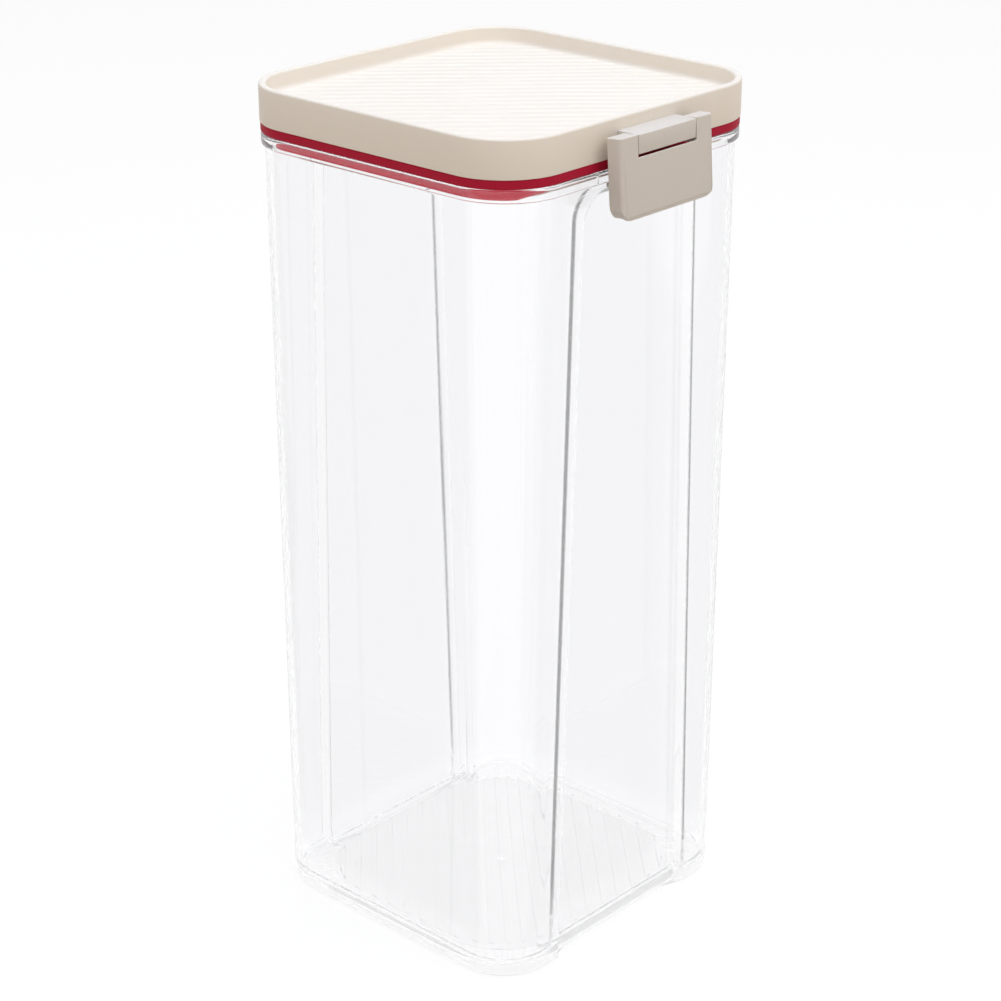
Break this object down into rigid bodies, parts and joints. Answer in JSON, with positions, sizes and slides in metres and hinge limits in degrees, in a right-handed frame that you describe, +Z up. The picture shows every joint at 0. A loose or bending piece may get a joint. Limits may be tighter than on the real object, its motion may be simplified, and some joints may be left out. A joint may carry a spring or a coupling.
{
  "type": "food canister",
  "caption": "Tall clear square food canister with a cream tray-top lid, a red silicone seal and hinged snap latches that hook under the rim.",
  "frame": {"origin": "middle of the base, on the surface the canister stands on", "axes": "+Z up the canister, -Y towards the front latch, +X to the right of it"},
  "size_m": [0.11, 0.1244, 0.2568],
  "materials": {
    "clear_plastic": "clear moulded styrene plastic, polished",
    "cream_plastic": "cream moulded polypropylene, satin",
    "red_silicone": "red moulded silicone, matte",
    "pin_steel": "drawn stainless wire"
  },
  "bodies": {
    "canister": {"canister_body": "clear_plastic"},
    "lid": {"lid_cover": "cream_plastic", "lid_plug": "cream_plastic", "seal_gasket": "red_silicone", "front_latch_pin": "pin_steel", "rear_latch_pin": "pin_steel"},
    "front_latch": {"front_latch": "cream_plastic"},
    "rear_latch": {"rear_latch": "cream_plastic"}
  },
  "joints": [
    {"name": "lid_lift", "type": "slide", "parent": "canister", "child": "lid", "axis": [0, 0, 1], "range_m": [0, 0.00916]},
    {"name": "front_latch_swing", "type": "hinge", "parent": "lid", "child": "front_latch", "pos_m": [0, -0.0589, 0.2505], "axis": [-1, 0, 0], "range_deg": [0, 105]},
    {"name": "rear_latch_swing", "type": "hinge", "parent": "lid", "child": "rear_latch", "pos_m": [0, 0.0589, 0.2505], "axis": [1, 0, 0], "range_deg": [0, 105]}
  ],
  "couplings": [
    {"joint": "front_latch_swing", "follows": "lid_lift", "rad_per_m": 200},
    {"joint": "rear_latch_swing", "follows": "lid_lift", "rad_per_m": 200}
  ]
}
